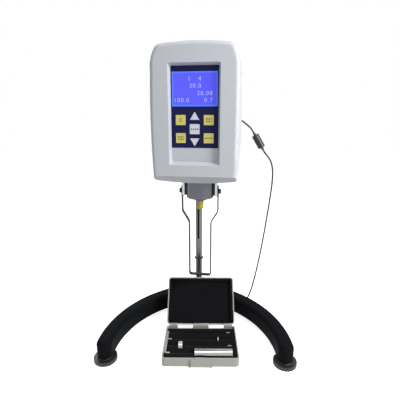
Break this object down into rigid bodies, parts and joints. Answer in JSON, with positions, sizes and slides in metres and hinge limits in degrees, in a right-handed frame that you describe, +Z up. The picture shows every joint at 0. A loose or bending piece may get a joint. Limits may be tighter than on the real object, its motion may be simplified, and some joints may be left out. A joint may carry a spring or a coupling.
{
  "type": "rotational viscometer",
  "caption": "Digital rotational viscometer head on a rack column with an arched base, spindle guard and an open case of measuring spindles.",
  "frame": {"origin": "column axis at the level of the table, the centre of the rear foot", "axes": "+Z up, front of the head towards -Y, +X to the right of a person facing the display from the front"},
  "size_m": [0.3483, 0.2701, 0.547],
  "materials": {
    "base_enamel": "black textured enamel on a casting",
    "foot_black": "black moulded knurled discs with steel studs",
    "steel": "ground steel",
    "rack_steel": "blackened toothed steel",
    "nickel": "satin nickel plate",
    "guard_steel": "dark bent stainless strip",
    "aluminium": "turned aluminium",
    "clamp_paint": "black enamel",
    "housing": "cool grey-white moulded housing, satin",
    "black_plastic": "black moulding",
    "panel_blue": "dark blue printed panel",
    "display_blue": "lit blue display",
    "key_yellow": "pale yellow key",
    "key_white": "pale grey key",
    "board": "green circuit board",
    "brass": "brass",
    "spring_steel": "blued spring strip",
    "transit_cap": "olive yellow soft cap",
    "rubber": "black rubber",
    "case_shell": "warm light grey moulded case",
    "foam": "black closed-cell foam",
    "spindle_steel": "polished stainless steel",
    "level_glass": "green tinted level",
    "cable": "black cable sheath"
  },
  "bodies": {
    "root": {"base_casting": "base_enamel", "column": "steel", "column_rack": "rack_steel", "column_nut": "nickel", "stop_ring": "rubber", "column_cap": "black_plastic", "lead_upper": "cable", "ferrite": "black_plastic", "lead_lower": "cable", "lead_coil": "cable", "power_adapter": "black_plastic"},
    "carriage": {"lift_clamp": "clamp_paint"},
    "pinion": {"pinion_shaft": "steel", "lift_knob": "black_plastic"},
    "head": {"head_rod": "nickel", "front_shell": "housing", "rear_shell": "housing", "housing_screws": "nickel", "spirit_level": "level_glass", "chassis": "aluminium", "motor": "black_plastic", "main_board": "board", "keypad_panel": "panel_blue", "display": "display_blue", "bearings": "brass", "cup": "aluminium", "guard_lugs": "nickel", "guard_frame": "guard_steel", "switch_frame": "black_plastic", "power_socket": "black_plastic", "lead_plug": "black_plastic"},
    "drive": {"drive_disc": "brass"},
    "shaft": {"measuring_shaft": "steel", "hairspring": "spring_steel"},
    "cap": {"transit_cap": "transit_cap"},
    "case": {"case_tray": "case_shell", "case_foam": "foam", "hinge_pins": "steel"},
    "lid": {"case_lid": "case_shell", "lid_foam": "foam"},
    "latch": {"case_latch": "case_shell"},
    "rocker": {"rocker_switch": "black_plastic"},
    "tension": {"tension_screw": "black_plastic"},
    "clamping": {"head_clamp_screw": "black_plastic"},
    "foot_left_body": {"foot_left": "foot_black"},
    "foot_right_body": {"foot_right": "foot_black"},
    "foot_rear_body": {"foot_rear": "foot_black"},
    "guard_screw_left_body": {"guard_screw_left": "black_plastic"},
    "guard_screw_right_body": {"guard_screw_right": "black_plastic"},
    "key_upper_left_body": {"key_upper_left": "key_yellow"},
    "key_upper_right_body": {"key_upper_right": "key_yellow"},
    "key_lower_left_body": {"key_lower_left": "key_yellow"},
    "key_lower_right_body": {"key_lower_right": "key_yellow"},
    "key_middle_body": {"key_middle": "key_white"},
    "key_up_body": {"key_up": "key_white"},
    "key_down_body": {"key_down": "key_white"},
    "spindle_1_body": {"spindle_1": "spindle_steel"},
    "spindle_2_body": {"spindle_2": "spindle_steel"},
    "spindle_3_body": {"spindle_3": "spindle_steel"},
    "spindle_4_body": {"spindle_4": "spindle_steel"}
  },
  "joints": [
    {"name": "lift", "type": "slide", "parent": "root", "child": "carriage", "axis": [0, 0, 1], "range_m": [-0.062, 0.08]},
    {"name": "pinion_turn", "type": "hinge", "parent": "carriage", "child": "pinion", "pos_m": [0, -0.01447, 0.399], "axis": [1, 0, 0], "range_deg": [-525, 407]},
    {"name": "head_roll", "type": "hinge", "parent": "carriage", "child": "head", "pos_m": [0.018, 0, 0.426], "axis": [0, 1, 0], "range_deg": [-2, 2]},
    {"name": "tension_turn", "type": "hinge", "parent": "carriage", "child": "tension", "pos_m": [-0.02, 0, 0.424], "axis": [1, 0, 0], "range_deg": [-180, 180]},
    {"name": "clamp_turn", "type": "hinge", "parent": "carriage", "child": "clamping", "pos_m": [0.018, -0.006, 0.443], "axis": [0, 0, 1], "range_deg": [-180, 180]},
    {"name": "drive_spin", "type": "hinge", "parent": "head", "child": "drive", "pos_m": [0.018, -0.1085, 0.356], "axis": [0, 0, 1], "continuous": true},
    {"name": "shaft_windup", "type": "hinge", "parent": "drive", "child": "shaft", "pos_m": [0.018, -0.1085, 0.335], "axis": [0, 0, 1], "range_deg": [-5, 85], "stiffness_Nm_per_rad": 0.00005},
    {"name": "cap_pull", "type": "slide", "parent": "shaft", "child": "cap", "axis": [0, 0, -1], "range_m": [0, 0.018]},
    {"name": "guard_screw_left_turn", "type": "hinge", "parent": "head", "child": "guard_screw_left_body", "pos_m": [-0.0155, -0.1085, 0.281], "axis": [1, 0, 0], "range_deg": [-180, 180]},
    {"name": "guard_screw_right_turn", "type": "hinge", "parent": "head", "child": "guard_screw_right_body", "pos_m": [0.0515, -0.1085, 0.281], "axis": [1, 0, 0], "range_deg": [-180, 180]},
    {"name": "key_upper_left_press", "type": "slide", "parent": "head", "child": "key_upper_left_body", "axis": [0, 1, 0], "range_m": [0, 0.0005], "stiffness_N_per_m": 2000},
    {"name": "key_upper_right_press", "type": "slide", "parent": "head", "child": "key_upper_right_body", "axis": [0, 1, 0], "range_m": [0, 0.0005], "stiffness_N_per_m": 2000},
    {"name": "key_lower_left_press", "type": "slide", "parent": "head", "child": "key_lower_left_body", "axis": [0, 1, 0], "range_m": [0, 0.0005], "stiffness_N_per_m": 2000},
    {"name": "key_lower_right_press", "type": "slide", "parent": "head", "child": "key_lower_right_body", "axis": [0, 1, 0], "range_m": [0, 0.0005], "stiffness_N_per_m": 2000},
    {"name": "key_middle_press", "type": "slide", "parent": "head", "child": "key_middle_body", "axis": [0, 1, 0], "range_m": [0, 0.0005], "stiffness_N_per_m": 2000},
    {"name": "key_up_press", "type": "slide", "parent": "head", "child": "key_up_body", "axis": [0, 1, 0], "range_m": [0, 0.0005], "stiffness_N_per_m": 2000},
    {"name": "key_down_press", "type": "slide", "parent": "head", "child": "key_down_body", "axis": [0, 1, 0], "range_m": [0, 0.0005], "stiffness_N_per_m": 2000},
    {"name": "rocker_tip", "type": "hinge", "parent": "head", "child": "rocker", "pos_m": [-0.012, -0.063, 0.346], "axis": [1, 0, 0], "range_deg": [-24, 0]},
    {"name": "foot_left_turn", "type": "hinge", "parent": "root", "child": "foot_left_body", "pos_m": [-0.13262, -0.22107, 0], "axis": [0, 0, 1], "range_deg": [-180, 180]},
    {"name": "foot_right_turn", "type": "hinge", "parent": "root", "child": "foot_right_body", "pos_m": [0.17568, -0.18867, 0], "axis": [0, 0, 1], "range_deg": [-180, 180]},
    {"name": "foot_rear_turn", "type": "hinge", "parent": "root", "child": "foot_rear_body", "pos_m": [0, 0, 0], "axis": [0, 0, 1], "range_deg": [-180, 180]},
    {"name": "case_shift", "type": "slide", "parent": "root", "child": "case", "axis": [0.1305, -0.9914, 0], "range_m": [0, 0.15]},
    {"name": "lid_turn", "type": "hinge", "parent": "case", "child": "lid", "pos_m": [0.02155, -0.12536, 0.0167], "axis": [0.9914, 0.1305, 0], "range_deg": [0, 129.2]},
    {"name": "latch_turn", "type": "hinge", "parent": "case", "child": "latch", "pos_m": [0.03387, -0.21895, 0.002], "axis": [0.9914, 0.1305, 0], "range_deg": [0, 75]},
    {"name": "spindle_1_lift", "type": "slide", "parent": "case", "child": "spindle_1_body", "axis": [0, 0, 1], "range_m": [0, 0.06]},
    {"name": "spindle_2_lift", "type": "slide", "parent": "case", "child": "spindle_2_body", "axis": [0, 0, 1], "range_m": [0, 0.06]},
    {"name": "spindle_3_lift", "type": "slide", "parent": "case", "child": "spindle_3_body", "axis": [0, 0, 1], "range_m": [0, 0.06]},
    {"name": "spindle_4_lift", "type": "slide", "parent": "case", "child": "spindle_4_body", "axis": [0, 0, 1], "range_m": [0, 0.06]}
  ],
  "couplings": [
    {"joint": "pinion_turn", "follows": "lift", "rad_per_m": -114.29}
  ]
}
